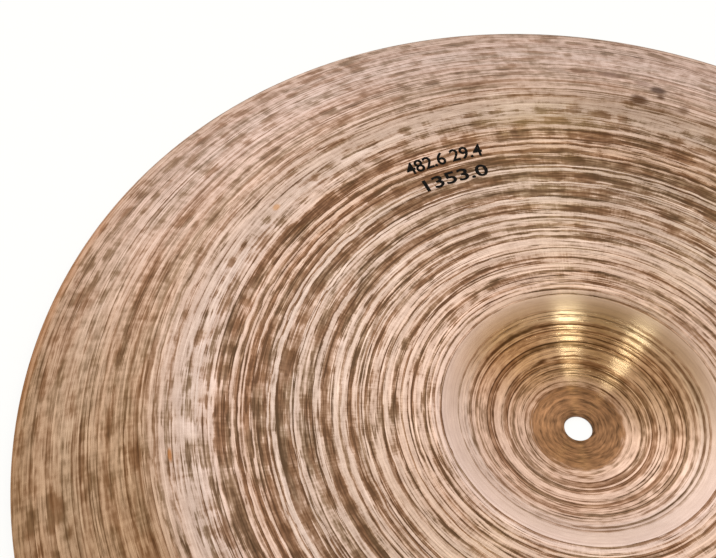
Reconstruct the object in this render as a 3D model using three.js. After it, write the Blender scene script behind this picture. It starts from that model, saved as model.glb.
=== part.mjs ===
// China cymbal, lying with its bell down, in millimetres, +Z up.
//
// The whole instrument is one bronze plate, cast, rolled, hammered and turned on a lathe, so
// it is one closed solid: a flat seat round the centre hole, a bell, a bow that rises from the
// bell, a crease, and a flange that turns back down to the rim. The origin is on the axis, at
// the underside of the seat, which is what the plate stands on.
import * as THREE from 'three';

// Radii, all measured on the upper face, which is the hollow side of the bell.
const HOLE_RADIUS = 6.25; // takes the sleeved rod of a cymbal stand
const SEAT_RADIUS = 22; // flat land under the felt washers, left as hammered
const BELL_RADIUS = 61;
const CREASE_RADIUS = 184.5;
const RIM_RADIUS = 241.3; // a 19 inch cymbal measures 482.6 across

// Heights along the axis.
const BELL_DEPTH = 15; // seat up to the lip of the bell
const BOW_RISE = 14.1; // lip up to the crease
const FLANGE_DROP = 17.1; // crease down to the rim

// The bow and the flange are crowned: how much of each height is reached half-way out.
const BOW_CROWN_SHARE = 0.234;
const FLANGE_CROWN_SHARE = 0.48;

// How far each bend reaches along the plate, to either side of its corner.
const SEAT_BEND = 5;
const BELL_BEND = 7;
const CREASE_BEND = 8;

// The plate is turned thinner from the bell out to the rim.
const BELL_THICKNESS = 1.2;
const RIM_THICKNESS = 0.75;
const RIM_ROUNDING = 0.2; // how far the middle of the rim's edge stands out from its corners

// Rows of hammer blows leave shallow rings between the crests that the lathe cut bright.
const ROW_DEPTH = 0.22;
const BOW_ROWS = 11;
const FLANGE_ROWS = 6;

// Facet counts.
const FACETS_AROUND = 64;
const STEPS = { bend: 4, bell: 5, bow: 8, flange: 4, curve: 32 };
const SHORTEST_STEP = 0.001; // closer points of the plate's line count as one

// A bend of any length stops half-way along its shorter leg, and a full one always goes there.
const FULL_BEND = Infinity;

// Both faces end at the corners of the rim's rounded edge.
const EDGE_RADIUS = RIM_RADIUS - RIM_ROUNDING;

// The plate's line on the upper face, from the hole out to the rim, as corners and bends.
function faceCorners() {
  const seat = BELL_THICKNESS;
  const lip = seat + BELL_DEPTH;
  const crease = lip + BOW_RISE;
  const corner = (radius, height, bend = 0) => ({ at: new THREE.Vector2(radius, height), bend });
  return [
    corner(HOLE_RADIUS, seat),
    corner(SEAT_RADIUS, seat, SEAT_BEND),
    corner(BELL_RADIUS, lip, BELL_BEND),
    corner((BELL_RADIUS + CREASE_RADIUS) / 2, lip + BOW_RISE * BOW_CROWN_SHARE, FULL_BEND),
    corner(CREASE_RADIUS, crease, CREASE_BEND),
    corner((CREASE_RADIUS + EDGE_RADIUS) / 2, crease - FLANGE_DROP * FLANGE_CROWN_SHARE, FULL_BEND),
    corner(EDGE_RADIUS, crease - FLANGE_DROP),
  ];
}

// One smooth line through the corners. A bend is a parabola, cut short where a leg is short.
function smoothLine(corners) {
  const line = new THREE.Path();
  line.moveTo(corners[0].at.x, corners[0].at.y);
  for (let i = 1; i < corners.length - 1; i += 1) {
    const { at, bend } = corners[i];
    const before = corners[i - 1].at.clone().sub(at);
    const after = corners[i + 1].at.clone().sub(at);
    const reach = Math.min(bend, before.length() / 2, after.length() / 2);
    const start = before.setLength(reach).add(at);
    const end = after.setLength(reach).add(at);
    line.lineTo(start.x, start.y);
    line.quadraticCurveTo(at.x, at.y, end.x, end.y);
  }
  const rim = corners.at(-1).at;
  line.lineTo(rim.x, rim.y);
  return line.getPoints(STEPS.curve);
}

// The line as points that all lie further out than the one before.
const FACE = smoothLine(faceCorners()).filter(
  (point, i, all) => i === 0 || point.x - all[i - 1].x > SHORTEST_STEP,
);

// Point of the upper face at a radius, and its unit normal, which leans away from the plate.
function faceAt(radius) {
  const further = FACE.findIndex((point) => point.x >= radius);
  const end = further < 0 ? FACE.length - 1 : Math.max(further, 1);
  const from = FACE[end - 1];
  const along = FACE[end].clone().sub(from);
  const point = from.clone().addScaledVector(along, (radius - from.x) / along.x);
  const normal = new THREE.Vector2(-along.y, along.x).normalize();
  return { point, normal };
}

// Thickness of the plate at a radius: even in the bell, then tapering to the rim.
function thicknessAt(radius) {
  const share = THREE.MathUtils.clamp((radius - BELL_RADIUS) / (EDGE_RADIUS - BELL_RADIUS), 0, 1);
  return THREE.MathUtils.lerp(BELL_THICKNESS, RIM_THICKNESS, share);
}

// Radii of the named stretches of the plate, out of the bends at their ends.
function stretches() {
  const shorter = (bend, ...legs) => Math.min(bend, ...legs.map((leg) => leg / 2));
  const bell = BELL_RADIUS - SEAT_RADIUS;
  const bow = (CREASE_RADIUS - BELL_RADIUS) / 2;
  const flange = (EDGE_RADIUS - CREASE_RADIUS) / 2;
  const seatBend = shorter(SEAT_BEND, SEAT_RADIUS - HOLE_RADIUS, bell);
  const bellBend = shorter(BELL_BEND, bell, bow);
  const creaseBend = shorter(CREASE_BEND, bow, flange);
  return {
    seatEnd: SEAT_RADIUS - seatBend,
    bellStart: SEAT_RADIUS + seatBend,
    bellEnd: BELL_RADIUS - bellBend,
    bowStart: BELL_RADIUS + bellBend,
    bowEnd: CREASE_RADIUS - creaseBend,
    flangeStart: CREASE_RADIUS + creaseBend,
  };
}

// Radii from one place to another in even steps, with the first and without the last.
function evenly(from, to, steps) {
  return Array.from({ length: steps }, (_, i) => THREE.MathUtils.lerp(from, to, i / steps));
}

// Radii and depths of rows of hammering: a crest at each row's start, its ring half-way.
function hammeredRows(from, to, rows) {
  return evenly(from, to, rows * 2).map((radius, i) => ({ radius, depth: (i % 2) * ROW_DEPTH }));
}

// The upper face, out from the hole, with its rows of hammering.
function upperLine() {
  const at = stretches();
  const plain = (from, to, steps) => evenly(from, to, steps).map((radius) => ({ radius, depth: 0 }));
  const stations = [
    ...plain(HOLE_RADIUS, at.seatEnd, 1),
    ...plain(at.seatEnd, at.bellStart, STEPS.bend),
    ...plain(at.bellStart, at.bellEnd, STEPS.bell),
    ...plain(at.bellEnd, at.bowStart, STEPS.bend),
    ...hammeredRows(at.bowStart, at.bowEnd, BOW_ROWS),
    ...plain(at.bowEnd, at.flangeStart, STEPS.bend),
    ...hammeredRows(at.flangeStart, EDGE_RADIUS, FLANGE_ROWS),
    { radius: EDGE_RADIUS, depth: 0 },
  ];
  return stations.map(({ radius, depth }) => {
    const { point, normal } = faceAt(radius);
    return point.addScaledVector(normal, -depth);
  });
}

// The under face, out from the hole. It lies one thickness below the upper one, measured
// square to the plate, and the two edges are cut parallel to the axis.
function underLine() {
  const at = stretches();
  const inner = [
    ...evenly(at.seatEnd, at.bellStart, STEPS.bend),
    ...evenly(at.bellStart, at.bellEnd, 1),
    ...evenly(at.bellEnd, at.bowStart, STEPS.bend),
    ...evenly(at.bowStart, at.bowEnd, STEPS.bow),
    ...evenly(at.bowEnd, at.flangeStart, STEPS.bend),
    ...evenly(at.flangeStart, EDGE_RADIUS, STEPS.flange),
  ];
  const middle = inner.map((radius) => {
    const { point, normal } = faceAt(radius);
    return point.addScaledVector(normal, -thicknessAt(radius));
  });
  const edge = (radius) => {
    const { point, normal } = faceAt(radius);
    return new THREE.Vector2(radius, point.y - thicknessAt(radius) / normal.y);
  };
  return [edge(HOLE_RADIUS), ...middle, edge(EDGE_RADIUS)];
}

// The closed section of the plate: out along the under face, round the rim, back on top.
function section() {
  const under = underLine();
  const upper = upperLine();
  const rimMiddle = under.at(-1).clone().add(upper.at(-1)).divideScalar(2);
  rimMiddle.x = RIM_RADIUS;
  return [...under, rimMiddle, ...upper.reverse(), under[0].clone()];
}

// Turned bronze: pale pinkish brown where the lathe cut, darker in the hammered rings.
const bronze = new THREE.MeshStandardMaterial({ color: 0xb59277, roughness: 0.38, metalness: 1 });

function buildCymbal() {
  const geometry = new THREE.LatheGeometry(section(), FACETS_AROUND);
  geometry.rotateX(Math.PI / 2); // the lathe turns about Y, the cymbal about Z
  const cymbal = new THREE.Mesh(geometry, bronze);
  cymbal.name = 'cymbal';
  return cymbal;
}

const chinaCymbal = new THREE.Group();
chinaCymbal.add(buildCymbal());

export default chinaCymbal;
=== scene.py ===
"""Looks of a 19 inch china cymbal: one plate of bell bronze, hammered by hand and turned.

The plate is made again as one fine closed mesh with its hammer dents, and it replaces the
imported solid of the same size. Lengths in the classes are millimetres, those in Blender metres.
"""

import logging
import math
from dataclasses import dataclass, field
from enum import Enum
from typing import Any

import bmesh
import bpy
import numpy as np
from mathutils import Matrix, Vector

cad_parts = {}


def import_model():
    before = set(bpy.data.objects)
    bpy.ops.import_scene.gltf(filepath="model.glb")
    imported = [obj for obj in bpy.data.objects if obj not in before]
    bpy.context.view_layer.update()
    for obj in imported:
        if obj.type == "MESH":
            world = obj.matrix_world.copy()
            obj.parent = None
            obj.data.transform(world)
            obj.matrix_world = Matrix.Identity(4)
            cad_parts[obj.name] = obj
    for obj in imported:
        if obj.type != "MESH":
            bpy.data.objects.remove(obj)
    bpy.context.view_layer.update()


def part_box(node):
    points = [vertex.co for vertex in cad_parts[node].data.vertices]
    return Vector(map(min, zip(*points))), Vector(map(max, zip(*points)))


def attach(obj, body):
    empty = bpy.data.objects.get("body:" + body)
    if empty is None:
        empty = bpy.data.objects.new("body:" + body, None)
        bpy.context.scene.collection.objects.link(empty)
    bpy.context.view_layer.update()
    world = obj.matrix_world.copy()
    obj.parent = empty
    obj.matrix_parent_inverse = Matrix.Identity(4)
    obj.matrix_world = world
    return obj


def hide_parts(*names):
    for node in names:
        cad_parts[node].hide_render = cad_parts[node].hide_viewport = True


MM = 0.001
FULL_TURN = 2 * math.pi
LOG = logging.getLogger("china_cymbal")

Tree = bpy.types.NodeTree
Socket = bpy.types.NodeSocket
Levels = tuple[tuple[float, float], ...]
Colours = tuple[tuple[float, str], ...]

# Sockets that are told apart by number: those of a map range, and those of a mix of two colours.
LOW, HIGH, TO_LOW, TO_HIGH = 1, 2, 3, 4
MIX_FROM, MIX_TO, MIXED = 6, 7, 2


class Face(Enum):
    """The two faces of the plate."""

    HOLLOW = "hollow"
    CROWN = "crown"


def linear(code: str) -> tuple[float, float, float, float]:
    """Turn an sRGB hex code into a linear colour.

    Args:
        code: six hex digits with a hash before them.

    Returns:
        Red, green and blue from 0 to 1, and an alpha of 1.
    """
    parts = [int(code[i : i + 2], 16) / 255 for i in (1, 3, 5)]
    red, green, blue = (c / 12.92 if c <= 0.04045 else ((c + 0.055) / 1.055) ** 2.4 for c in parts)
    return red, green, blue, 1.0


def add(
    tree: Tree, kind: str, inputs: dict | None = None, out: int | str = 0, **settings: Any
) -> Socket | None:
    """Add a node, set its properties, then fill or link its sockets.

    Args:
        tree: the node tree that takes it.
        kind: the node's type name, after the "ShaderNode" that each of them starts with.
        inputs: socket names or numbers, each with a value or with the output it is linked to.
        out: name or number of the output that is wanted.
        settings: properties of the node.

    Returns:
        That output, or None from a node that has none.
    """
    made = tree.nodes.new("ShaderNode" + kind)
    for name, value in settings.items():
        setattr(made, name, value)
    for key, value in (inputs or {}).items():
        if isinstance(value, Socket):
            tree.links.new(value, made.inputs[key])
        else:
            made.inputs[key].default_value = value
    return made.outputs[out] if made.outputs else None


def blank_material(name: str) -> tuple[bpy.types.Material, Tree]:
    """Make a material with an empty node tree.

    Args:
        name: the material's name.

    Returns:
        The material and its tree.
    """
    material = bpy.data.materials.new(name)
    material.use_nodes = True
    material.node_tree.nodes.clear()
    return material, material.node_tree


def set_stops(ramp: Socket, stops: Levels | Colours, mode: str) -> None:
    """Give a colour ramp its stops.

    Args:
        ramp: the ramp's output.
        stops: places from 0 to 1, each with a level or with an sRGB hex code.
        mode: the ramp's interpolation.
    """
    elements = ramp.node.color_ramp.elements
    ramp.node.color_ramp.interpolation = mode
    while len(elements) > 1:
        elements.remove(elements[-1])
    elements[0].position = stops[0][0]
    for i, (place, value) in enumerate(stops):
        element = elements.new(place) if i else elements[0]
        element.color = linear(value) if isinstance(value, str) else (value, value, value, 1.0)


@dataclass
class PlateSection:
    """The plate's section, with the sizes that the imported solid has.

    Only the sag of the bell's wall is the scene's own. A bend or the bell has so many steps, and
    a step shorter than the shortest is left out.
    """

    rim_radius: float
    hole_radius: float = 6.25
    seat_radius: float = 22.0
    bell_radius: float = 61.0
    crease_radius: float = 184.5
    bell_depth: float = 15.0
    bow_rise: float = 14.1
    flange_drop: float = 17.1
    bow_crown_share: float = 0.234
    flange_crown_share: float = 0.48
    seat_bend: float = 5.0
    bell_bend: float = 7.0
    bell_sag: float = 0.8
    crease_bend: float = 8.0
    bell_thickness: float = 1.2
    rim_thickness: float = 0.75
    rim_rounding: float = 0.2
    steps: int = 40
    shortest_step: float = 0.001
    line: np.ndarray = field(init=False)
    under_line: np.ndarray = field(init=False)

    def __post_init__(self) -> None:
        """Work out both faces' lines."""
        self.line = self._smooth_line()
        rise = np.gradient(self.line[:, 1], self.line[:, 0])
        lean = 1 / np.hypot(rise, 1)
        thickness = self.thickness(self.line[:, 0])
        self.under_line = self.line + np.stack([rise * lean, -lean], axis=1) * thickness[:, None]

    @property
    def edge_radius(self) -> float:
        """Radius at which both faces end and the rim's rounding begins."""
        return self.rim_radius - self.rim_rounding

    def _corners(self) -> list[tuple[float, float, float]]:
        """List the corners of the hollow face's line.

        Returns:
            The radius and the height of each corner, and the reach of its bend.
        """
        seat = self.bell_thickness
        lip = seat + self.bell_depth
        crease = lip + self.bow_rise
        bow = (self.bell_radius + self.crease_radius) / 2
        flange = (self.crease_radius + self.edge_radius) / 2
        rim = crease - self.flange_drop
        past_rim = self.rim_radius + self.rim_rounding
        fall = self.flange_drop * (1 - self.flange_crown_share) / (self.edge_radius - flange)
        return [
            (0.0, seat, 0.0),
            (self.seat_radius, seat, self.seat_bend),
            (self.bell_radius, lip, self.bell_bend),
            (bow, lip + self.bow_rise * self.bow_crown_share, math.inf),
            (self.crease_radius, crease, self.crease_bend),
            (flange, crease - self.flange_drop * self.flange_crown_share, math.inf),
            (past_rim, rim - fall * (past_rim - self.edge_radius), 0.0),
        ]

    def _smooth_line(self) -> np.ndarray:
        """Round the corners with parabolas, none past the middle of a leg, and sag the bell's wall.

        Returns:
            Radii and heights, from the axis out.
        """
        corners = self._corners()
        at = np.array([corner[:2] for corner in corners])
        legs = np.hypot(*np.diff(at, axis=0).T)
        last_drop = self.flange_drop * (1 - self.flange_crown_share)
        legs[-1] = math.hypot(self.edge_radius - at[-2, 0], last_drop)
        share = np.linspace(0, 1, self.steps)[:, None]
        points = [at[:1]]
        for i in range(1, len(corners) - 1):
            reach = min(corners[i][2], legs[i - 1] / 2, legs[i] / 2)
            start = at[i] + (at[i - 1] - at[i]) / np.hypot(*(at[i - 1] - at[i])) * reach
            end = at[i] + (at[i + 1] - at[i]) / np.hypot(*(at[i + 1] - at[i])) * reach
            points.append((1 - share) ** 2 * start + 2 * share * (1 - share) * at[i] + share**2 * end)
        line = np.concatenate([*points, at[-1:]])
        line = line[np.concatenate([[True], np.diff(line[:, 0]) > self.shortest_step])]
        radii = np.union1d(line[:, 0], np.linspace(self.seat_radius, self.bell_radius, self.steps))
        heights = np.interp(radii, line[:, 0], line[:, 1])
        wall = self.bell_radius - self.bell_bend - self.seat_radius
        across = np.clip((radii - self.seat_radius) / wall, 0, 1)
        return np.stack([radii, heights - 4 * self.bell_sag * across * (1 - across)], axis=1)

    def thickness(self, radius: np.ndarray) -> np.ndarray:
        """Thickness of the plate: even in the bell, then tapering to the rim."""
        share = np.clip((radius - self.bell_radius) / (self.edge_radius - self.bell_radius), 0, 1)
        return self.bell_thickness + (self.rim_thickness - self.bell_thickness) * share

    def height(self, radius: np.ndarray, face: Face = Face.HOLLOW) -> np.ndarray:
        """Height of a face at given radii."""
        line = self.line if face is Face.HOLLOW else self.under_line
        return np.interp(radius, line[:, 0], line[:, 1])


@dataclass(frozen=True)
class HammerRow:
    """A row of hammer blows round the plate, with half the size of a blow each way."""

    radius: float
    pitch: float
    along: float
    across: float
    depth: float


@dataclass
class Hammering:
    """Every blow of the hammer, as shallow round dents in rows and a few between them.

    A blow's size and depth are its row's times a share drawn between two. It is felt as far out
    as reach times its size, and within calm of the bell and of the rim the dents die away.
    """

    section: PlateSection
    rows: tuple[HammerRow, ...] = (
        HammerRow(69.5, 13.0, 3.4, 1.5, 0.12),
        HammerRow(74.6, 15.0, 3.6, 1.3, 0.10),
        HammerRow(82.2, 14.0, 3.8, 1.6, 0.12),
        HammerRow(94.2, 13.0, 3.6, 1.6, 0.14),
        HammerRow(101.2, 12.0, 3.4, 1.6, 0.14),
        HammerRow(111.3, 11.5, 3.2, 2.0, 0.18),
        HammerRow(119.8, 12.0, 3.2, 2.0, 0.14),
        HammerRow(129.6, 9.4, 2.6, 2.2, 0.24),
        HammerRow(139.2, 9.8, 2.6, 1.8, 0.22),
        HammerRow(144.2, 9.0, 2.4, 1.3, 0.14),
        HammerRow(154.6, 9.2, 2.6, 2.5, 0.26),
        HammerRow(162.2, 9.6, 2.6, 1.9, 0.20),
        HammerRow(168.4, 9.4, 2.4, 1.7, 0.18),
        HammerRow(176.8, 11.0, 2.6, 1.4, 0.10),
        HammerRow(188.6, 11.0, 2.8, 1.4, 0.10),
        HammerRow(194.2, 10.6, 2.6, 1.4, 0.12),
        HammerRow(200.4, 10.2, 2.6, 1.6, 0.14),
        HammerRow(210.8, 10.6, 2.6, 1.6, 0.12),
        HammerRow(217.6, 10.2, 2.6, 1.6, 0.13),
        HammerRow(225.0, 10.4, 2.6, 1.6, 0.15),
        HammerRow(232.2, 10.0, 2.6, 1.6, 0.17),
        HammerRow(237.8, 9.8, 2.6, 1.4, 0.14),
    )
    pitch_wander_share: float = 0.24
    radius_wander: float = 0.55
    size_shares: tuple[float, float] = (0.75, 1.3)
    depth_shares: tuple[float, float] = (0.35, 1.35)
    loose_blows: int = 300
    loose_size: float = 3.0
    loose_across_share: float = 0.6
    loose_depth: float = 0.10
    loose_size_shares: tuple[float, float] = (0.6, 1.3)
    loose_depth_shares: tuple[float, float] = (0.4, 1.5)
    blow_depth: float = 0.2
    reach: float = 3.0
    calm: float = 2.5
    seed: int = 19
    blows: np.ndarray = field(init=False)

    def __post_init__(self) -> None:
        """Place the blows: radius, angle, half sizes along and across, and depth of each."""
        chance = np.random.default_rng(self.seed)
        placed = []
        for row in self.rows:
            count = round(FULL_TURN * row.radius / row.pitch)
            wander = chance.normal(0, self.pitch_wander_share, count)
            angle = (np.arange(count) + wander) * FULL_TURN / count
            radius = row.radius + chance.normal(0, self.radius_wander, count)
            size = chance.uniform(*self.size_shares, count)
            depth = row.depth * chance.uniform(*self.depth_shares, count)
            along, across = row.along * size, row.across * size**0.5
            placed.append(np.stack([radius, angle, along, across, depth], axis=1))
        first = self.section.bell_radius + self.loose_size
        last = self.section.edge_radius - self.loose_size
        radius = np.sqrt(chance.uniform(first**2, last**2, self.loose_blows))
        angle = chance.uniform(0, FULL_TURN, self.loose_blows)
        size = self.loose_size * chance.uniform(*self.loose_size_shares, self.loose_blows)
        depth = self.loose_depth * chance.uniform(*self.loose_depth_shares, self.loose_blows)
        placed.append(np.stack([radius, angle, size, size * self.loose_across_share, depth], axis=1))
        self.blows = np.concatenate(placed)

    def depth(self, radius: float, angles: np.ndarray) -> np.ndarray:
        """Depth of the dents along one ring.

        Args:
            radius: radius of the ring.
            angles: angles round it.

        Returns:
            How far the face lies below the turned line at each angle.
        """
        off = self.blows[:, 0] - radius
        near = self.blows[np.abs(off) < self.blows[:, 3] * self.reach]
        if not len(near):
            return np.zeros_like(angles)
        apart = (angles[:, None] - near[:, 1] + math.pi) % FULL_TURN - math.pi
        along = apart * radius / near[:, 2]
        across = (near[:, 0] - radius) / near[:, 3]
        total = (near[:, 4] * np.exp(-(along**2 + across**2) / 2)).sum(axis=1)
        edges = min(radius - self.section.bell_radius, self.section.edge_radius - radius)
        return total * np.clip(edges / self.calm, 0, 1)


@dataclass
class Ring:
    """One ring of points: the index of its first point, its count and its place on the map."""

    first: int
    count: int
    place: float


@dataclass
class RingSkin:
    """A skin of rings round the axis, joined in order, with a map unrolled about the axis."""

    points: list[np.ndarray] = field(default_factory=list)
    dents: list[np.ndarray] = field(default_factory=list)
    faces: list[list[int]] = field(default_factory=list)
    marks: list[float] = field(default_factory=list)
    slots: list[int] = field(default_factory=list)
    total: int = 0
    sharp_angle: float = 60.0

    def ring(self, radius: float, heights: np.ndarray, dents: np.ndarray, place: float) -> Ring:
        """Add a ring of points.

        Args:
            radius: its radius.
            heights: the height of each of its points.
            dents: how deep in a hammer dent each of its points is, from 0 to about 1.
            place: its height on the map.

        Returns:
            The ring.
        """
        count = len(heights)
        angles = np.arange(count) * FULL_TURN / count
        self.points.append(np.stack([radius * np.cos(angles), radius * np.sin(angles), heights], axis=1))
        self.dents.append(dents)
        made = Ring(self.total, count, place)
        self.total += count
        return made

    def join(self, inner: Ring, outer: Ring, slot: int) -> None:
        """Join two rings with faces: quads between equal rings, triangles where the count doubles.

        Args:
            inner: the ring that comes first along the section.
            outer: the ring that comes after it, with as many, twice or half as many points.
            slot: the material slot of the faces.
        """
        for i in range(min(inner.count, outer.count)):
            self._join_step(inner, outer, i, slot)

    def _join_step(self, inner: Ring, outer: Ring, step: int, slot: int) -> None:
        """Join one step of two rings.

        Args:
            inner: the ring that comes first along the section.
            outer: the ring that comes after it.
            step: which step of the ring with fewer points.
            slot: the material slot of the faces.
        """

        def corner(ring: Ring, i: int) -> tuple[int, float, float]:
            """Give a point's index and its place on the map."""
            return ring.first + i % ring.count, i / ring.count, ring.place

        if inner.count == outer.count:
            a, b = corner(outer, step), corner(outer, step + 1)
            loops = [(corner(inner, step), a, b, corner(inner, step + 1))]
        elif inner.count < outer.count:
            a, b = corner(inner, step), corner(inner, step + 1)
            c, d, e = (corner(outer, 2 * step + k) for k in range(3))
            loops = [(a, c, d), (a, d, b), (b, d, e)]
        else:
            a, b = corner(outer, step), corner(outer, step + 1)
            c, d, e = (corner(inner, 2 * step + k) for k in range(3))
            loops = [(c, a, d), (d, a, b), (d, b, e)]
        for loop in loops:
            self.faces.append([index for index, _, _ in loop])
            self.marks.extend(value for _, along, place in loop for value in (along, place))
            self.slots.append(slot)

    def mesh(self, name: str) -> bpy.types.Mesh:
        """Make the skin into a smooth mesh in metres.

        Args:
            name: the mesh's name.

        Returns:
            The mesh, with the map "OFBake" and the point attribute "dent".
        """
        mesh = bpy.data.meshes.new(name)
        mesh.from_pydata((np.concatenate(self.points) * MM).tolist(), [], self.faces)
        mesh.uv_layers.new(name="OFBake").data.foreach_set("uv", self.marks)
        mesh.attributes.new("dent", "FLOAT", "POINT").data.foreach_set("value", np.concatenate(self.dents))
        mesh.polygons.foreach_set("material_index", self.slots)
        mesh.polygons.foreach_set("use_smooth", [True] * len(self.faces))
        mesh.validate()
        mesh.set_sharp_from_angle(angle=math.radians(self.sharp_angle))
        return mesh


@dataclass(frozen=True)
class Grain:
    """Noise drawn out round the axis: the length and width of its streaks, and its weight.

    Where a floor is set, only what rises above it counts, so its streaks stand apart as hairlines.
    Rays are drawn out along the radius instead, and their length round the axis is that at the bow.
    """

    along: float
    across: float
    weight: float
    detail: float = 1.0
    floor: float | None = None
    rays: bool = False


@dataclass(frozen=True)
class GrainZone:
    """Grains of one zone of the face, and how strong they are at some radii."""

    strengths: Levels
    grains: tuple[Grain, ...]


@dataclass(frozen=True)
class StainAndSheen:
    """A spot on the metal, a stain or a painted reflection: its place, half its size each way, its colour
    and how solid it is.
    """

    radius: float
    degrees: float
    along: float
    across: float
    colour: str
    strength: float = 0.8


@dataclass
class FacePlace:
    """Where a point of the face lies, as sockets in millimetres, and patterns that follow it."""

    tree: Tree
    rim_radius: float
    seed: float
    seed_step: float = 31.7
    hairline_rise: float = 0.06
    ray_radius: float = 130.0
    band_gap: float = 1e-4
    spot_raggedness: float = 1.2
    spot_edge: tuple[float, float] = (1.15, 0.35)
    flat: Socket = field(init=False)
    around: Socket = field(init=False)
    radius: Socket = field(init=False)
    dent: Socket = field(init=False)

    def __post_init__(self) -> None:
        """Read the place in the plane of the rim, the radius and the depth in a hammer dent."""
        tree = self.tree
        place = add(tree, "TexCoord", out="Object")
        self.flat = add(tree, "VectorMath", {0: place, 1: (1 / MM, 1 / MM, 0.0)}, operation="MULTIPLY")
        self.radius = add(tree, "VectorMath", {0: self.flat}, "Value", operation="LENGTH")
        way = add(tree, "VectorMath", {0: self.flat}, operation="NORMALIZE")
        self.around = add(tree, "VectorMath", {0: way, "Scale": self.ray_radius}, operation="SCALE")
        self.dent = add(tree, "Attribute", out="Fac", attribute_name="dent")

    def grain(self, grain: Grain) -> Socket:
        """Noise drawn out round the axis, with no seam.

        Args:
            grain: the size of its streaks, and its floor.

        Returns:
            The noise: from 0 to 1 with a mean of a half, or 0 with 1 on the hairlines.
        """
        tree = self.tree
        self.seed += self.seed_step
        base = self.around if grain.rays else self.flat
        drawn = add(tree, "VectorMath", {0: base, "Scale": 1 / grain.along}, operation="SCALE")
        scaled = {0: self.radius, 1: 1 / grain.across, 2: self.seed}
        lift = add(tree, "Math", scaled, operation="MULTIPLY_ADD")
        up = add(tree, "CombineXYZ", {"Z": lift})
        place = add(tree, "VectorMath", {0: drawn, 1: up}, operation="ADD")
        noise = add(tree, "TexNoise", {"Vector": place, "Scale": 1.0, "Detail": grain.detail})
        if grain.floor is None:
            return noise
        return add(tree, "MapRange", {0: noise, LOW: grain.floor, HIGH: grain.floor + self.hairline_rise})

    def grains(self, *grains: Grain) -> Socket:
        """Add up several grains by their weights, each counted from its own middle."""
        terms = [(self.grain(grain), 0.5 if grain.floor is None else 0.0, grain.weight) for grain in grains]
        return self.total(0.0, *terms)

    def total(self, base: Socket | float, *terms: tuple[Socket, float, float]) -> Socket:
        """Add weighted values to a base, each counted from its own middle.

        Args:
            base: what the terms are added to.
            terms: values, each with its middle and its weight.

        Returns:
            The sum.
        """
        total = base
        for value, middle, weight in terms:
            weighed = {0: value, 1: weight, 2: -middle * weight}
            moved = add(self.tree, "Math", weighed, operation="MULTIPLY_ADD")
            total = add(self.tree, "Math", {0: moved, 1: total}, operation="ADD")
        return total

    def by_radius(self, stops: Levels | Colours) -> Socket:
        """Look up a level or a colour by radius, smooth between the given radii.

        Args:
            stops: radii, each with a level from 0 to 1 or with an sRGB hex code.

        Returns:
            The level or the colour.
        """
        share = add(self.tree, "Math", {0: self.radius, 1: self.rim_radius}, operation="DIVIDE")
        return self.by_share(share, tuple((at / self.rim_radius, value) for at, value in stops))

    def by_share(self, share: Socket, stops: Levels | Colours) -> Socket:
        """Look up a level or a colour by a share from 0 to 1, smooth between the given shares.

        Args:
            share: the share.
            stops: shares, each with a level or with an sRGB hex code.

        Returns:
            The level or the colour.
        """
        ramp = add(self.tree, "ValToRGB", {0: share})
        set_stops(ramp, stops, "LINEAR")
        return ramp

    def bands(self, groups: tuple[Levels, ...], radius: Socket) -> Socket:
        """Look up how much of the face is cut at a radius, with one ramp for each group of bands.

        Args:
            groups: the groups, each with the radii where bands begin and how much of each is cut.
            radius: the radius.

        Returns:
            How much is cut, from 0 to 1.
        """
        total: Socket | float = 0.0
        ends = [group[0][0] for group in groups[1:]] + [self.rim_radius]
        for group, end in zip(groups, ends, strict=True):
            start = group[0][0]
            share = add(self.tree, "MapRange", {0: radius, LOW: start, HIGH: end})
            ramp = add(self.tree, "ValToRGB", {0: share})
            stops = [(max((at - start) / (end - start), self.band_gap), cut) for at, cut in group]
            set_stops(ramp, [(0.0, 0.0), *stops, (1 - self.band_gap, 0.0)], "CONSTANT")
            total = add(self.tree, "Math", {0: ramp, 1: total}, operation="ADD")
        return total

    def spot(self, stain_and_sheen: StainAndSheen, ragged: Socket) -> Socket:
        """Cover of a spot, 0 outside it.

        Args:
            stain_and_sheen: the spot.
            ragged: noise that makes its edge uneven.

        Returns:
            How solid the spot is at the place.
        """
        tree = self.tree
        angle = math.radians(stain_and_sheen.degrees)
        ways = (math.cos(angle), math.sin(angle), 0.0), (-math.sin(angle), math.cos(angle), 0.0)
        out, ahead = (
            add(tree, "VectorMath", {0: self.flat, 1: way}, "Value", operation="DOT_PRODUCT")
            for way in ways
        )
        turn = add(tree, "Math", {0: ahead, 1: out}, operation="ARCTAN2")
        along = self.total(0.0, (turn, 0.0, stain_and_sheen.radius / stain_and_sheen.along))
        across = self.total(0.0, (self.radius, stain_and_sheen.radius, 1 / stain_and_sheen.across))
        both = add(tree, "CombineXYZ", {"X": along, "Y": across})
        away = add(tree, "VectorMath", {0: both}, "Value", operation="LENGTH")
        edge, inside = self.spot_edge
        return add(
            tree, "MapRange",
            {
                0: self.total(away, (ragged, 0.5, self.spot_raggedness)),
                LOW: edge, HIGH: inside, TO_HIGH: stain_and_sheen.strength,
            },
            interpolation_type="SMOOTHSTEP",
        )


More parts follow.
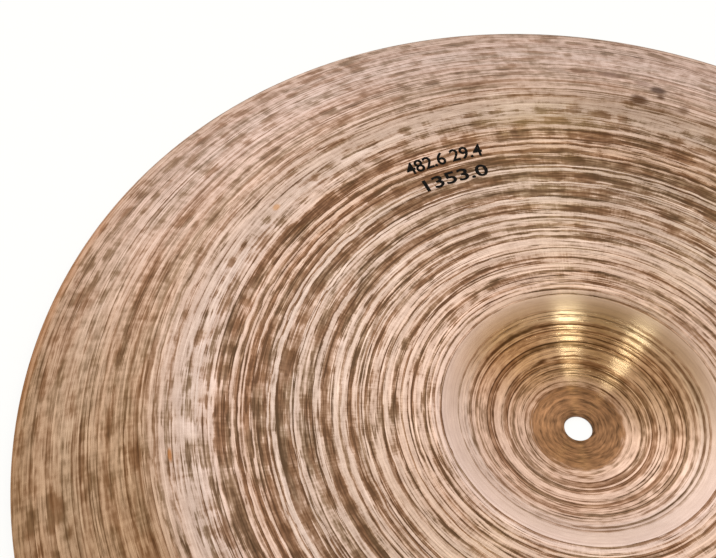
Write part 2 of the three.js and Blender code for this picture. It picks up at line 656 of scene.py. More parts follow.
@dataclass(frozen=True)
class TurnedBellBronze:
    """Cast bell bronze (B20), hammered by hand and then turned on a lathe without polishing.

    The tool cuts bright, pale pinkish rings on the crests between the hammer blows and misses
    the hollows, which keep the brown skin of the casting. Its fine grooves run round the axis,
    so lamps show as narrow streaks along a radius. How much is cut is the level at a radius,
    moved by the bands as the contrasts say, by the grains, and down in the dents.
    """

    name: str
    bands: tuple[Levels, ...]
    tints: Colours
    stains_and_sheen: tuple[StainAndSheen, ...] = ()
    ruddy_tones: Colours = (
        (0, "#7c573e"), (0.18, "#93694c"), (0.36, "#a67c5f"), (0.5, "#bb9277"), (0.6, "#d2ab92"),
        (0.7, "#dfbaa3"), (1, "#e9c7b1"),
    )
    olive_tones: Colours = (
        (0, "#76573e"), (0.18, "#8c694f"), (0.36, "#a07d60"), (0.5, "#b69379"), (0.6, "#d0ac94"),
        (0.7, "#dfbaa3"), (1, "#e9c7b1"),
    )
    levels: Levels = (
        (22, 0.6), (27, 0.54), (33, 0.6), (39, 0.51), (45, 0.48), (51, 0.61), (57, 0.53), (62, 0.6),
        (68, 0.54), (80, 0.51), (98, 0.53), (110, 0.555), (119, 0.505), (134, 0.51), (146, 0.455),
        (158, 0.55), (168, 0.605), (176, 0.54), (184, 0.48), (192, 0.47), (208, 0.485), (216, 0.505),
        (231, 0.48), (238, 0.58),
    )
    contrasts: Levels = (
        (22, 0.54), (50, 0.52), (55, 0.42), (62, 0.68), (125, 0.7), (158, 0.66), (172, 0.52), (184, 0.42),
        (195, 0.28), (241, 0.25),
    )
    dent_weights: Levels = (
        (61, 0.36), (100, 0.28), (154, 0.25), (162, 0.31), (183, 0.31), (192, 0.28), (241, 0.25),
    )
    dent_breaks: float = 1.2
    dent_depths: tuple[float, float] = (0.15, 0.85)
    dent_shades: tuple[float, float] = (-0.3, 0.7)
    cut_levels: tuple[float, float] = (0.45, 0.65)
    seat_colour: str = "#966c4b"
    seat_radius: float = 20.6
    seat_edge: float = 1.2
    seat_edge_mottle: float = 4.0
    seat_edge_grain: float = 3.0
    seat_levels: Levels = ((6.3, 0.5), (7.2, 0.72), (8.4, 1.0), (22, 1.0))
    seat_grains: tuple[Grain, ...] = (
        Grain(60, 1.3, 1.1), Grain(40, 0.7, 0.7), Grain(4, 0.9, 1.6), Grain(5, 4.0, 0.8, 3.0),
    )
    rim_radius: float = 241.3
    cut_roughness: float = 0.24
    missed_roughness: float = 0.29
    # The real grooves are about 0.2 mm apart, too fine to show in the render. So the finest are
    # drawn 0.6 to 0.9 mm wide, and the roughness and the anisotropy stand for those between.
    zones: tuple[GrainZone, ...] = (
        GrainZone(
            ((22, 0.8), (40, 0.8), (50, 0.7), (54.5, 0.4), (56, 0.2), (60, 0.2), (62.5, 0.0)),
            (
                Grain(300, 1.2, 0.7), Grain(110, 0.9, 0.45), Grain(160, 0.8, -0.4, floor=0.6),
                Grain(60, 1.2, -0.35, floor=0.62), Grain(14, 1.1, 0.55), Grain(6, 2.5, 0.5),
                Grain(30, 0.8, 0.4), Grain(4, 0.9, 0.65),
            ),
        ),
        GrainZone(
            ((60, 0.0), (62.5, 0.66), (100, 0.6), (166, 0.54), (172, 0.46), (184, 0.4), (191, 0.0)),
            (
                Grain(90, 1.3, 1.2), Grain(24, 1.3, 0.9), Grain(7, 1.5, 0.6), Grain(9, 5.0, 0.25),
                Grain(70, 5.0, 0.2), Grain(20, 0.8, 0.55), Grain(4.5, 0.9, 0.7),
                Grain(80, 0.9, -0.5, floor=0.62), Grain(14, 1.1, -0.4, floor=0.63),
                Grain(40, 1.0, 0.45, floor=0.62), Grain(1.1, 5.0, 0.4, rays=True),
            ),
        ),
        GrainZone(
            ((184, 0.0), (191, 0.4), (241, 0.38)),
            (
                Grain(90, 1.1, 0.8), Grain(20, 1.1, 0.6), Grain(5, 0.9, 0.8),
                Grain(90, 0.8, -0.45, floor=0.61), Grain(30, 0.9, 0.4, floor=0.62), Grain(8, 8.0, 0.45),
                Grain(4.5, 5.0, 0.35), Grain(1.5, 7.0, 0.45, rays=True),
            ),
        ),
    )
    # Painted shade on the crests' flanks: how far inside to look for a cut crest, and how dark its line is
    # drawn.
    flank_shade: float = 0.55
    flank_shade_weight: float = 0.2
    wander: Grain = Grain(12, 14.0, 1.0)
    wander_shares: Levels = ((50, 0.1), (62, 0.3), (100, 0.7), (135, 1.0))
    widest_wander: float = 2.4
    feather: Grain = Grain(50, 0.6, 1.6, 2.0)
    patches: Grain = Grain(30, 6.0, 1.0, 2.0)
    patch_range: tuple[float, float] = (0.4, 0.6)
    mottle: Grain = Grain(16, 4.0, 0.25, 3.0)
    grain_shade: float = 0.65
    groove_depth: float = 0.004
    step_depth: float = 0.012
    seed: float = 3.0

    def material(self) -> bpy.types.Material:
        """Build the finish.

        Returns:
            The material.
        """
        material, tree = blank_material(self.name)
        place = FacePlace(tree, self.rim_radius, self.seed)
        uneven = place.total(0.0, *((self._zone(place, zone), 0.0, 1.0) for zone in self.zones))
        level = self._level(place, uneven)
        low, high = self.cut_levels
        cut = add(tree, "MapRange", {0: level, LOW: low, HIGH: high})
        colour = self._colour(place, level, uneven)
        roughness = add(
            tree, "MapRange", {0: cut, TO_LOW: self.missed_roughness, TO_HIGH: self.cut_roughness}
        )
        relief = place.total(0.0, (uneven, 0.0, self.groove_depth), (cut, 0.5, -self.step_depth))
        shader = add(
            tree, "BsdfPrincipled",
            {
                "Base Color": colour,
                "Roughness": roughness,
                "Normal": add(tree, "Bump", {"Height": relief, "Distance": MM, "Strength": 1.0}),
                "Tangent": add(tree, "Tangent", direction_type="RADIAL", axis="Z"),
                "Metallic": 1.0,
                "Anisotropic": 1.0,
                "Anisotropic Rotation": 0.25,
            },
        )
        add(tree, "OutputMaterial", {"Surface": shader})
        return material

    def _zone(self, place: FacePlace, zone: GrainZone) -> Socket:
        """Add up the grains of a zone, each at the zone's strength."""
        inputs = {0: place.grains(*zone.grains), 1: place.by_radius(zone.strengths)}
        return add(place.tree, "Math", inputs, operation="MULTIPLY")

    def _level(self, place: FacePlace, uneven: Socket) -> Socket:
        """Work out how much the lathe's tool cut at a place, less a painted shade just outside each cut
        crest.

        Args:
            place: the place on the face.
            uneven: how the cut varies there, from its grooves, skips and hairlines.

        Returns:
            From 0 where the tool missed to 1 where it cut all of the face.
        """
        tree = place.tree
        share = place.by_radius(self.wander_shares)
        swayed = add(tree, "Math", {0: place.grains(self.wander), 1: share}, operation="MULTIPLY")
        feather = place.grain(self.feather)
        moved = place.total(
            place.radius, (swayed, 0.0, self.widest_wander), (feather, 0.5, self.feather.weight)
        )
        tone = place.bands(self.bands, moved)
        # Painted shade: just outside a cut crest the level drops, in a thin darker line.
        inner = add(tree, "Math", {0: moved, 1: -self.flank_shade}, operation="ADD")
        step = place.total(place.bands(self.bands, inner), (tone, 0.0, -1.0))
        flank_shade = add(tree, "Math", {0: step, 1: 0.0}, operation="MAXIMUM")
        contrast = place.by_radius(self.contrasts)
        stepped = add(
            tree, "Math", {0: place.total(-0.5, (tone, 0.0, 1.0)), 1: contrast}, operation="MULTIPLY"
        )
        (shallow, deep), (crest, hollow) = self.dent_depths, self.dent_shades
        broken = place.total(place.dent, (uneven, 0.0, -self.dent_breaks))
        dented = add(
            tree, "MapRange", {0: broken, LOW: shallow, HIGH: deep, TO_LOW: crest, TO_HIGH: hollow},
            interpolation_type="SMOOTHSTEP",
        )
        missed = add(tree, "Math", {0: dented, 1: place.by_radius(self.dent_weights)}, operation="MULTIPLY")
        return place.total(
            place.by_radius(self.levels), (uneven, 0.0, 1.0), (stepped, 0.0, 1.0),
            (flank_shade, 0.0, -self.flank_shade_weight), (missed, 0.0, -1.0),
        )

    def _colour(self, place: FacePlace, level: Socket, uneven: Socket) -> Socket:
        """Mix the colours of the cut crests, the missed hollows, the plain seat, the stains and the painted
        reflections.

        Args:
            place: the place on the face.
            level: how much the tool cut there.
            uneven: how the cut varies there.

        Returns:
            The colour.
        """
        tree = place.tree
        low, high = self.patch_range
        patch = add(
            tree, "MapRange", {0: place.grain(self.patches), LOW: low, HIGH: high},
            interpolation_type="SMOOTHSTEP",
        )
        tones = [place.by_share(level, tones) for tones in (self.ruddy_tones, self.olive_tones)]
        metal = add(tree, "Mix", {0: patch, MIX_FROM: tones[0], MIX_TO: tones[1]}, MIXED, data_type="RGBA")
        metal = add(tree, "VectorMath", {0: metal, 1: place.by_radius(self.tints)}, operation="MULTIPLY")
        mottle = place.grain(self.mottle)
        shade = place.total(1.0, (uneven, 0.0, self.grain_shade), (mottle, 0.5, self.mottle.weight))
        metal = add(tree, "VectorMath", {0: metal, "Scale": shade}, operation="SCALE")
        edge = place.total(
            place.radius, (mottle, 0.5, self.seat_edge_mottle), (uneven, 0.0, self.seat_edge_grain)
        )
        low, high = self.seat_radius - self.seat_edge, self.seat_radius + self.seat_edge
        on_seat = add(tree, "MapRange", {0: edge, LOW: low, HIGH: high, TO_LOW: 1.0, TO_HIGH: 0.0})
        worn = place.total(place.by_radius(self.seat_levels), (place.grains(*self.seat_grains), 0.0, 1.0))
        seat = add(tree, "VectorMath", {0: linear(self.seat_colour)[:3], "Scale": worn}, operation="SCALE")
        colour = add(tree, "Mix", {0: on_seat, MIX_FROM: metal, MIX_TO: seat}, MIXED, data_type="RGBA")
        for stain_and_sheen in self.stains_and_sheen:
            spot = place.spot(stain_and_sheen, mottle)
            inputs = {0: spot, MIX_FROM: colour, MIX_TO: linear(stain_and_sheen.colour)}
            colour = add(tree, "Mix", inputs, MIXED, data_type="RGBA")
        return colour


# The lathe's rings on each face, in groups that fit one ramp each: the radius in millimetres
# where a ring begins, and how much of it the tool cut, from 0 to 1.
HOLLOW_BANDS: tuple[Levels, ...] = (
    (
        (20, 0.35), (24, 0.6), (27, 0.4), (29, 0.1), (30.7, 0.7), (31.3, 0.1), (33.8, 0.75), (38.2, 0.45),
        (39.5, 0.1), (41.2, 0.5), (45.4, 0.15), (46.3, 0.65), (48.2, 0.3), (50.4, 0.85), (51.5, 0.45),
        (52.8, 0.75), (53.7, 0.3), (54.7, 0.85), (60.6, 0.95),
    ),
    (
        (61.6, 0.15), (62.7, 0.85), (64.6, 0.35), (65.3, 0.8), (66.4, 0.2), (67.4, 0.85), (68.5, 0.15),
        (70, 0.85), (72.6, 0.5), (73.8, 0.15), (75.2, 0.55), (76.8, 0.85), (78.6, 0.1), (79.4, 0.7),
        (81.2, 0.45), (81.9, 0.15), (82.8, 0.6), (84.8, 0.95), (86.9, 0.1), (87.7, 0.5), (89.4, 0.85),
        (92.8, 0.5), (93.7, 0.15), (95.2, 0.75), (97, 0.2), (97.9, 0.75), (98.9, 0.5),
    ),
    (
        (100.3, 0.15), (102, 0.6), (102.9, 0.85), (104.8, 0.4), (105.2, 0.1), (105.9, 0.55),
        (106.9, 0.85), (108.8, 0.5), (109.5, 0.15), (113.6, 0.5), (114.4, 0.9), (116.8, 0.1),
        (117.4, 0.4), (122.2, 0.6), (123.7, 0.9), (124.7, 0.25), (125.2, 0.85), (126.2, 0.25),
        (132.3, 0.9), (134.5, 0.2), (135.5, 0.85), (136.6, 0.4), (137.2, 0.2), (141.2, 0.5),
        (141.9, 0.85), (143, 0.1),
    ),
    (
        (145, 0.4), (145.7, 0.9), (147.9, 0.1), (149.2, 0.5), (149.9, 0.9), (151.5, 0.3), (157.6, 0.5),
        (158.4, 0.9), (160.4, 0.55), (163, 0.8), (163.6, 0.55), (164.9, 0.9), (165.9, 0.65),
        (167.4, 0.45), (169.2, 0.65), (170, 0.72), (175.2, 0.5), (176.5, 0.15), (177.2, 0.55),
        (178.4, 0.75), (180.3, 0.5), (181.4, 0.15), (182.3, 0.65), (184.3, 0.45),
    ),
    (
        (186.3, 0.6), (187.5, 0.45), (188, 0.2), (189.3, 0.4), (192.3, 0.6), (193.4, 0.2), (194.6, 0.55),
        (195.5, 0.6), (198.3, 0.5), (199.5, 0.2), (201.3, 0.5), (203.4, 0.7), (204.5, 0.45), (205, 0.15),
        (205.6, 0.5), (206.4, 0.9), (208, 0.55), (212, 0.45), (216, 0.6), (224, 0.4), (226.5, 0.6),
        (231, 0.4), (233, 0.6), (237, 0.4), (238, 0.6), (240.2, 0.2),
    ),
)
CROWN_BANDS: tuple[Levels, ...] = (
    (
        (20, 0.4), (26, 0.7), (31.5, 0.35), (34, 0.75), (42, 0.3), (43.6, 0.7), (52, 0.45), (56, 0.85),
    ),
    (
        (63, 0.3), (66.5, 0.8), (72, 0.45), (75.5, 0.8), (84, 0.25), (87, 0.75), (95.5, 0.4), (99, 0.85),
        (108, 0.3), (110.5, 0.65), (121, 0.8), (126, 0.3),
    ),
    (
        (131, 0.75), (139.5, 0.4), (143, 0.8), (152, 0.3), (156.5, 0.7), (166, 0.45), (172, 0.85),
        (181, 0.4), (190, 0.7), (203, 0.45), (214, 0.7), (228, 0.45), (236, 0.65),
    ),
)


@dataclass(frozen=True)
class StampingInk:
    """Black rubber-stamp ink, dried on the metal: a matt film that has begun to wear off."""

    name: str = "stamped_ink"
    colour: str = "#0b0808"
    roughness: float = 0.75
    specular_level: float = 0.1
    blot_size: float = 2.5
    blot_range: tuple[float, float] = (0.3, 0.7)
    blot_shades: tuple[float, float] = (0.7, 1.6)

    def material(self) -> bpy.types.Material:
        """Build the finish.

        Returns:
            The material.
        """
        material, tree = blank_material(self.name)
        place = add(tree, "TexCoord", out="Object")
        blot = add(tree, "TexNoise", {"Vector": place, "Scale": 1 / (self.blot_size * MM), "Detail": 3.0})
        (low, high), (dark, light) = self.blot_range, self.blot_shades
        shade = add(tree, "MapRange", {0: blot, LOW: low, HIGH: high, TO_LOW: dark, TO_HIGH: light})
        colour = add(tree, "VectorMath", {0: linear(self.colour)[:3], "Scale": shade}, operation="SCALE")
        inputs = {
            "Base Color": colour, "Roughness": self.roughness, "Specular IOR Level": self.specular_level,
        }
        add(tree, "OutputMaterial", {"Surface": add(tree, "BsdfPrincipled", inputs)})
        return material


@dataclass(frozen=True)
class WhitePaper:
    """Matt white background paper, lit from below for the camera, for metal and for glass.

    To all other rays it is grey, so that it throws little light back up at the plate.
    """

    name: str = "white_paper"
    colour: str = "#6f6f6f"
    glow: float = 0.86

    def material(self) -> bpy.types.Material:
        """Build the finish.

        Returns:
            The material.
        """
        material, tree = blank_material(self.name)
        rays = add(tree, "LightPath").node.outputs
        shown = rays["Is Camera Ray"]
        for other in ("Is Glossy Ray", "Is Transmission Ray"):
            shown = add(tree, "Math", {0: shown, 1: rays[other]}, operation="MAXIMUM")
        level = add(tree, "Math", {0: shown, 1: self.glow}, operation="MULTIPLY")
        glow = add(tree, "Emission", {"Color": linear("#ffffff"), "Strength": level})
        paper = add(tree, "BsdfDiffuse", {"Color": linear(self.colour)})
        add(tree, "OutputMaterial", {"Surface": add(tree, "AddShader", {0: glow, 1: paper})})
        return material


@dataclass
class CymbalPlate:
    """The plate: seat, bell, bow, crease, flange and rim, one closed skin with both faces."""

    section: PlateSection
    hammering: Hammering
    seat_step: float = 1.3
    bell_step: float = 1.0
    bow_step: float = 1.31
    under_step: float = 2.7
    seat_points: int = 120
    bell_points: int = 240
    bow_points: int = 480
    rim_steps: int = 4
    under_share: float = 0.5
    hollow_map: tuple[float, float] = (0.33, 0.995)
    crown_map: tuple[float, float] = (0.005, 0.31)

    def _stations(
        self, radii: tuple[float, ...], steps: tuple[float, ...], counts: tuple[int, ...]
    ) -> list[tuple[float, int]]:
        """List a face's rings from the hole out.

        Args:
            radii: where each zone begins, and where the last one ends.
            steps: the spacing of the rings in each zone.
            counts: the points in a ring of each zone.

        Returns:
            Radius and count of points of each ring.
        """
        stations = []
        for start, end, step, count in zip(radii[:-1], radii[1:], steps, counts, strict=True):
            rings = np.linspace(start, end, round((end - start) / step) + 1)
            stations += [(radius, count) for radius in rings[:-1]]
        return [*stations, (radii[-1], counts[-1])]

    def _ring(self, skin: RingSkin, radius: float, count: int, face: Face) -> Ring:
        """Add one ring of a face, with its dents.

        Args:
            skin: the skin that takes it.
            radius: its radius.
            count: its count of points.
            face: the face it lies on.

        Returns:
            The ring.
        """
        section, on_hollow = self.section, face is Face.HOLLOW
        dents = self.hammering.depth(radius, np.arange(count) * FULL_TURN / count)
        low, high = self.hollow_map if on_hollow else self.crown_map
        span = section.rim_radius + section.rim_thickness - section.hole_radius + section.bell_thickness
        place = low + (high - low) * (radius - section.hole_radius + section.bell_thickness / 2) / span
        heights = section.height(radius, face) - (dents if on_hollow else dents * self.under_share)
        return skin.ring(radius, heights, dents / self.hammering.blow_depth, place)

    def build(self) -> bpy.types.Object:
        """Make the plate's mesh.

        Returns:
            The plate, without its materials.
        """
        section = self.section
        skin = RingSkin()
        zones = (section.hole_radius, section.seat_radius, section.bell_radius, section.edge_radius)
        hollow = self._stations(
            zones, (self.seat_step, self.bell_step, self.bow_step),
            (self.seat_points, self.bell_points, self.bow_points),
        )
        crown = self._stations(
            zones, (self.under_step,) * 3, (self.seat_points, self.seat_points, self.bell_points)
        )
        rings = [(self._ring(skin, radius, count, Face.HOLLOW), 0) for radius, count in hollow]
        rings += [(ring, 0) for ring in self._rim(skin)]
        rings += [(self._ring(skin, radius, count, Face.CROWN), 1) for radius, count in reversed(crown)]
        rings.append(rings[0])
        for (ring, _), (after, slot) in zip(rings, rings[1:]):
            skin.join(ring, after, slot)
        plate = bpy.data.objects.new("cymbal_plate", skin.mesh("cymbal_plate"))
        bpy.context.scene.collection.objects.link(plate)
        return plate

    def _rim(self, skin: RingSkin) -> list[Ring]:
        """Add the rings of the rim's rounded edge, between its two corners.

        Args:
            skin: the skin that takes them.

        Returns:
            The rings, from the hollow face down.
        """
        section = self.section
        top = float(section.height(section.edge_radius))
        low = float(section.height(section.edge_radius, Face.CROWN))
        rings = []
        for i in range(1, self.rim_steps):
            turn = math.pi * i / self.rim_steps
            height = (top + low) / 2 + (top - low) / 2 * math.cos(turn)
            radius = section.edge_radius + section.rim_rounding * math.sin(turn)
            even = np.full(self.bow_points, height)
            rings.append(skin.ring(radius, even, np.zeros(self.bow_points), self.hollow_map[1]))
        return rings

    def dress(self, plate: bpy.types.Object) -> None:
        """Give the plate its two finishes.

        Args:
            plate: the plate.
        """
        tints = (
            (22, "#ebe6df"), (46, "#ebe6df"), (51, "#e4e6e6"), (57, "#e4e6e7"), (62, "#eef0f5"),
            (68, "#f5f4f4"), (87, "#f2f4f5"), (110, "#eff4f8"), (134, "#edf4fa"), (146, "#f5f4f4"),
            (158, "#f2f5fa"), (168, "#e9f1f9"), (176, "#e7ebef"), (188, "#e5e5e4"), (204, "#e7e6e7"),
            (216, "#e7ebf0"), (231, "#e4e3e5"), (239.5, "#d6d2cc"),
        )
        # Stains on the bow and flange, and last a painted reflection along the rim.
        spots = (
            StainAndSheen(169, 168.6, 2.4, 1.6, "#c98a4a", 0.6), StainAndSheen(176, 215.0, 3.6, 0.9, "#b9773f"),
            StainAndSheen(193, 97.6, 4.6, 3.8, "#4f2f17", 0.9), StainAndSheen(187, 97.0, 3.2, 2.8, "#573518", 0.9),
            StainAndSheen(181.5, 100.3, 6.0, 4.4, "#4f2f17", 0.9), StainAndSheen(181.5, 93.0, 4.4, 3.4, "#6b4a30"),
            StainAndSheen(197, 100.0, 6.0, 4.5, "#8e6c5a", 0.6), StainAndSheen(200, 105.0, 6.0, 4.0, "#8e6c5a", 0.5),
            StainAndSheen(200, 113.0, 5.0, 3.0, "#9a7b66", 0.5), StainAndSheen(163, 116.0, 40.0, 6.0, "#a5855a", 0.3),
            StainAndSheen(178, 103.0, 55.0, 11.0, "#6f4e33", 0.2),
            # Painted reflection: a warm strip along the rim's edge on the left.
            StainAndSheen(240.6, 193.0, 95.0, 3.6, "#b47b53", 0.45),
        )
        hollow = TurnedBellBronze("turned_bell_bronze_hollow_side", HOLLOW_BANDS, tints, spots)
        crown = TurnedBellBronze("turned_bell_bronze_crown_side", CROWN_BANDS, tints, seed=71.0)
        for finish in (hollow, crown):
            plate.data.materials.append(finish.material())


@dataclass(frozen=True)
class StampLine:
    """One line of the stamp, read with its tops towards the rim."""

    text: str
    foot_radius: float
    start_angle: float
    length: float
    height: float


@dataclass
class SizeStamp:
    """Plain numbers stamped in ink on the bow: the plate's sizes in millimetres and its grams."""

    section: PlateSection
    hammering: Hammering
    lines: tuple[StampLine, ...] = (
        StampLine("482.6 29.4", 144.3, 145.0, 40.0, 7.2),
        StampLine("1353.0", 132.9, 143.5, 33.0, 6.8),
    )
    film: float = 0.04
    longest_edge: float = 0.8
    cuts: int = 4
    boldness: float = 0.02
    weld: float = 1e-5

    def build(self) -> bpy.types.Object:
        """Make the stamp's film, bent along the rings and laid on the hammered face.

        Returns:
            The film, without its material.
        """
        points: list[Vector] = []
        faces: list[list[int]] = []
        for line in self.lines:
            self._add_line(points, faces, line)
        mesh = bpy.data.meshes.new("size_stamp")
        mesh.from_pydata(points, [], faces)
        mesh.polygons.foreach_set("use_smooth", [True] * len(faces))
        stamp = bpy.data.objects.new("size_stamp", mesh)
        bpy.context.scene.collection.objects.link(stamp)
        return stamp

    def _add_line(self, points: list[Vector], faces: list[list[int]], line: StampLine) -> None:
        """Set one line in flat type, cut it fine, and bend it onto the plate.

        The film's faces are listed one by one, so that each run gives them in the same order.

        Args:
            points: takes the line's points, the underside before the upper side.
            faces: takes its faces, as numbers of points.
            line: the line.
        """
        curve = bpy.data.curves.new("size_stamp_type", "FONT")
        curve.body = line.text
        curve.offset = self.boldness
        letters = bpy.data.objects.new("size_stamp_type", curve)
        mesh = bpy.data.meshes.new_from_object(letters)
        flat = bmesh.new()
        flat.from_mesh(mesh)
        bmesh.ops.remove_doubles(flat, verts=flat.verts, dist=self.weld)
        xs = [v.co.x for v in flat.verts]
        ys = [v.co.y for v in flat.verts]
        left, foot = min(xs), min(ys)
        wide = line.length / (max(xs) - left)
        tall = line.height / (max(ys) - foot)
        for v in flat.verts:
            v.co = Vector(((v.co.x - left) * wide, (v.co.y - foot) * tall, 0.0))
        bmesh.ops.triangulate(flat, faces=flat.faces)
        for _ in range(self.cuts):
            long = [edge for edge in flat.edges if edge.calc_length() > self.longest_edge]
            bmesh.ops.subdivide_edges(flat, edges=long, cuts=1)
            bmesh.ops.triangulate(flat, faces=flat.faces)
        loose = [v for v in flat.verts if not v.link_faces]
        bmesh.ops.delete(flat, geom=loose, context="VERTS")
        under, over = len(points), len(points) + len(flat.verts)
        for lift in (0.0, self.film):
            for v in flat.verts:
                radius = line.foot_radius + v.co.y
                angle = math.radians(line.start_angle) - v.co.x / line.foot_radius
                dent = float(self.hammering.depth(radius, np.array([angle % FULL_TURN]))[0])
                height = float(self.section.height(radius)) - dent + lift
                points.append(Vector((radius * math.cos(angle), radius * math.sin(angle), height)) * MM)
        flat.verts.index_update()
        loops = [[v.index for v in face.verts] for face in flat.faces]
        faces += [[over + i for i in loop] for loop in loops]
        faces += [[under + i for i in reversed(loop)] for loop in loops]
        for side in [edge.link_loops[0] for edge in flat.edges if edge.is_boundary]:
            a, b = side.vert.index, side.link_loop_next.vert.index
            faces.append([under + a, under + b, over + b, over + a])
        flat.free()
        bpy.data.meshes.remove(mesh)
        bpy.data.objects.remove(letters)
        bpy.data.curves.remove(curve)


@dataclass(frozen=True)
class RoomPatch:
    """A soft patch of the room: the way to its middle, its reach in degrees, its colour and light."""

    towards: tuple[float, float, float]
    reach: float
    colour: str
    strength: float


@dataclass(frozen=True)
class Lamp:
    """A square lamp: the way to it from the bell, its distance and side in metres, and its watts."""

    name: str
    towards: tuple[float, float, float]
    away: float
    side: float
    power: float
    colour: str = "#efffe4"


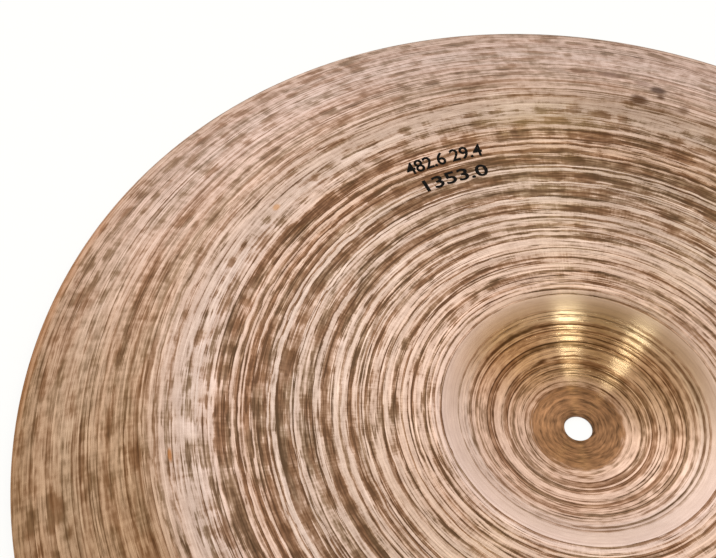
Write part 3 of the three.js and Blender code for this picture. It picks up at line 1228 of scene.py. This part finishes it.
@dataclass
class Studio:
    """A pale room: the camera, two narrow lamps overhead, a soft world and a white paper floor.

    The camera's turns are its roll, tilt and turn away from the target, in degrees. Its clip
    distances and the floor's side are metres.
    """

    camera_place: tuple[float, float, float] = (0.0, -272.5, 443.5)
    camera_turns: tuple[float, float, float] = (-2.067, 12.710, 21.624)
    target_height: float = 13.2
    lens: float = 57.94
    sensor: float = 36.0
    clip: tuple[float, float] = (0.01, 100.0)
    lamps: tuple[Lamp, ...] = (
        Lamp("lamp_left", (-0.155, -0.27, 0.95), 1.6, 0.25, 1.5),
        Lamp("lamp_right", (0.385, -0.27, 0.88), 1.6, 0.33, 3.4),
    )
    floor_side: float = 30.0
    room: str = "#fff1cf"
    room_strength: float = 0.76
    back_wall: str = "#bcd6ff"
    back_strength: float = 0.9
    back_range: tuple[float, float] = (0.1, 0.8)
    patches: tuple[RoomPatch, ...] = (
        RoomPatch((-0.5, 0.6, 0.62), 36.0, "#e2ebf6", 1.1),
        RoomPatch((0.7, 0.4, 0.59), 45.0, "#8cc8ff", -0.45),
        RoomPatch((0.0, 0.1, 0.99), 30.0, "#ffffff", -0.3),
        RoomPatch((0.115, -0.3, 0.95), 19.0, "#ffffff", -0.45),
        RoomPatch((-0.77, 0.1, 0.63), 28.0, "#ddffff", 0.22),
        RoomPatch((-0.71, 0.61, 0.35), 15.0, "#ffffff", -0.32),
        RoomPatch((-0.4, 0.82, 0.42), 22.0, "#ffffff", -0.2),
        RoomPatch((0.05, 0.9, 0.43), 24.0, "#ffffff", 0.28),
    )

    def camera(self) -> bpy.types.Object:
        """Set the camera at the photograph's viewing angle.

        Returns:
            The camera.
        """
        data = bpy.data.cameras.new("camera")
        data.lens, data.sensor_width, data.sensor_fit = self.lens, self.sensor, "HORIZONTAL"
        data.clip_start, data.clip_end = self.clip
        place = Vector(self.camera_place)
        ahead = (Vector((0.0, 0.0, self.target_height)) - place).normalized()
        right = Vector((1.0, 0.0, 0.0))
        up = right.cross(ahead)
        seen = Matrix((right, -up, ahead))
        roll, tilt, turn = (math.radians(angle) for angle in self.camera_turns)
        turned = Matrix.Rotation(turn, 3, "Z") @ Matrix.Rotation(tilt, 3, "Y")
        rows = turned @ Matrix.Rotation(roll, 3, "X") @ seen
        facing = Matrix((rows[0], -rows[1], -rows[2])).transposed()
        camera = bpy.data.objects.new("camera", data)
        camera.matrix_world = Matrix.Translation(place * MM) @ facing.to_4x4()
        bpy.context.scene.collection.objects.link(camera)
        bpy.context.scene.camera = camera
        return camera

    def hang(self, lamp: Lamp) -> None:
        """Hang a lamp so that it faces the bell.

        Args:
            lamp: the lamp.
        """
        data = bpy.data.lights.new(lamp.name, "AREA")
        data.shape, data.size, data.energy = "SQUARE", lamp.side, lamp.power
        data.color = linear(lamp.colour)[:3]
        hung = bpy.data.objects.new(lamp.name, data)
        direction = Vector(lamp.towards).normalized()
        hung.location = direction * lamp.away
        hung.rotation_euler = direction.to_track_quat("Z", "Y").to_euler()
        bpy.context.scene.collection.objects.link(hung)

    def world(self) -> None:
        """Light the room brightest behind on the left and darkest overhead."""
        world = bpy.data.worlds.new("pale_room")
        bpy.context.scene.world = world
        world.use_nodes = True
        tree = world.node_tree
        tree.nodes.clear()
        way = add(tree, "TexCoord", out="Generated")
        low, high = self.back_range
        wall = add(
            tree, "MapRange",
            {0: add(tree, "SeparateXYZ", {0: way}, "Y"), LOW: low, HIGH: high, TO_HIGH: self.back_strength},
            interpolation_type="SMOOTHSTEP",
        )
        room = Vector(linear(self.room)[:3]) * self.room_strength
        light = self._lit(tree, room, wall, self.back_wall)
        for patch in self.patches:
            middle = Vector(patch.towards).normalized()
            near = add(tree, "VectorMath", {0: way, 1: middle}, "Value", operation="DOT_PRODUCT")
            angle = add(tree, "Math", {0: near}, operation="ARCCOSINE")
            share = add(
                tree, "MapRange",
                {0: angle, LOW: math.radians(patch.reach), HIGH: 0.0, TO_HIGH: patch.strength},
                interpolation_type="SMOOTHSTEP",
            )
            light = self._lit(tree, light, share, patch.colour)
        add(tree, "OutputWorld", {"Surface": add(tree, "Background", {"Color": light, "Strength": 1.0})})

    def _lit(self, tree: Tree, light: Socket | Vector, share: Socket, colour: str) -> Socket:
        """Add a share of a colour to the room's light."""
        more = add(tree, "VectorMath", {0: linear(colour)[:3], "Scale": share}, operation="SCALE")
        return add(tree, "VectorMath", {0: light, 1: more}, operation="ADD")

    def floor(self, height: float) -> bpy.types.Object:
        """Lay the white floor that the plate stands on.

        Args:
            height: its height in metres.

        Returns:
            The floor.
        """
        mesh = bpy.data.meshes.new("floor")
        half = self.floor_side / 2
        corners = [(x * half, y * half, height) for x, y in ((-1, -1), (1, -1), (1, 1), (-1, 1))]
        mesh.from_pydata(corners, [], [(0, 1, 2, 3)])
        mesh.materials.append(WhitePaper().material())
        floor = bpy.data.objects.new("floor", mesh)
        bpy.context.scene.collection.objects.link(floor)
        return floor


def main() -> None:
    """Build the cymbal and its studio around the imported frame."""
    logging.basicConfig(level=logging.INFO, format="%(name)s: %(message)s")
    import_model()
    low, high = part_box("cymbal")
    size = (high - low) / MM
    LOG.info("packed plate is %.1f mm across and %.1f mm tall", size.x, size.z)
    bpy.context.scene.view_settings.view_transform = "Standard"

    studio = Studio()
    studio.camera()
    studio.world()
    for lamp in studio.lamps:
        studio.hang(lamp)
    studio.floor(low.z)

    section = PlateSection(rim_radius=high.x / MM)
    hammering = Hammering(section)
    plate_maker = CymbalPlate(section, hammering)
    plate = plate_maker.build()
    plate_maker.dress(plate)
    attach(plate, "root")
    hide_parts("cymbal")
    triangles = sum(len(face.vertices) - 2 for face in plate.data.polygons)
    LOG.info("%s: %d triangles, %d hammer blows", plate.name, triangles, len(hammering.blows))

    stamp = SizeStamp(section, hammering).build()
    stamp.data.materials.append(StampingInk().material())
    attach(stamp, "root")
    LOG.info("%s: %d faces", stamp.name, len(stamp.data.polygons))


if __name__ == "__main__":
    main()
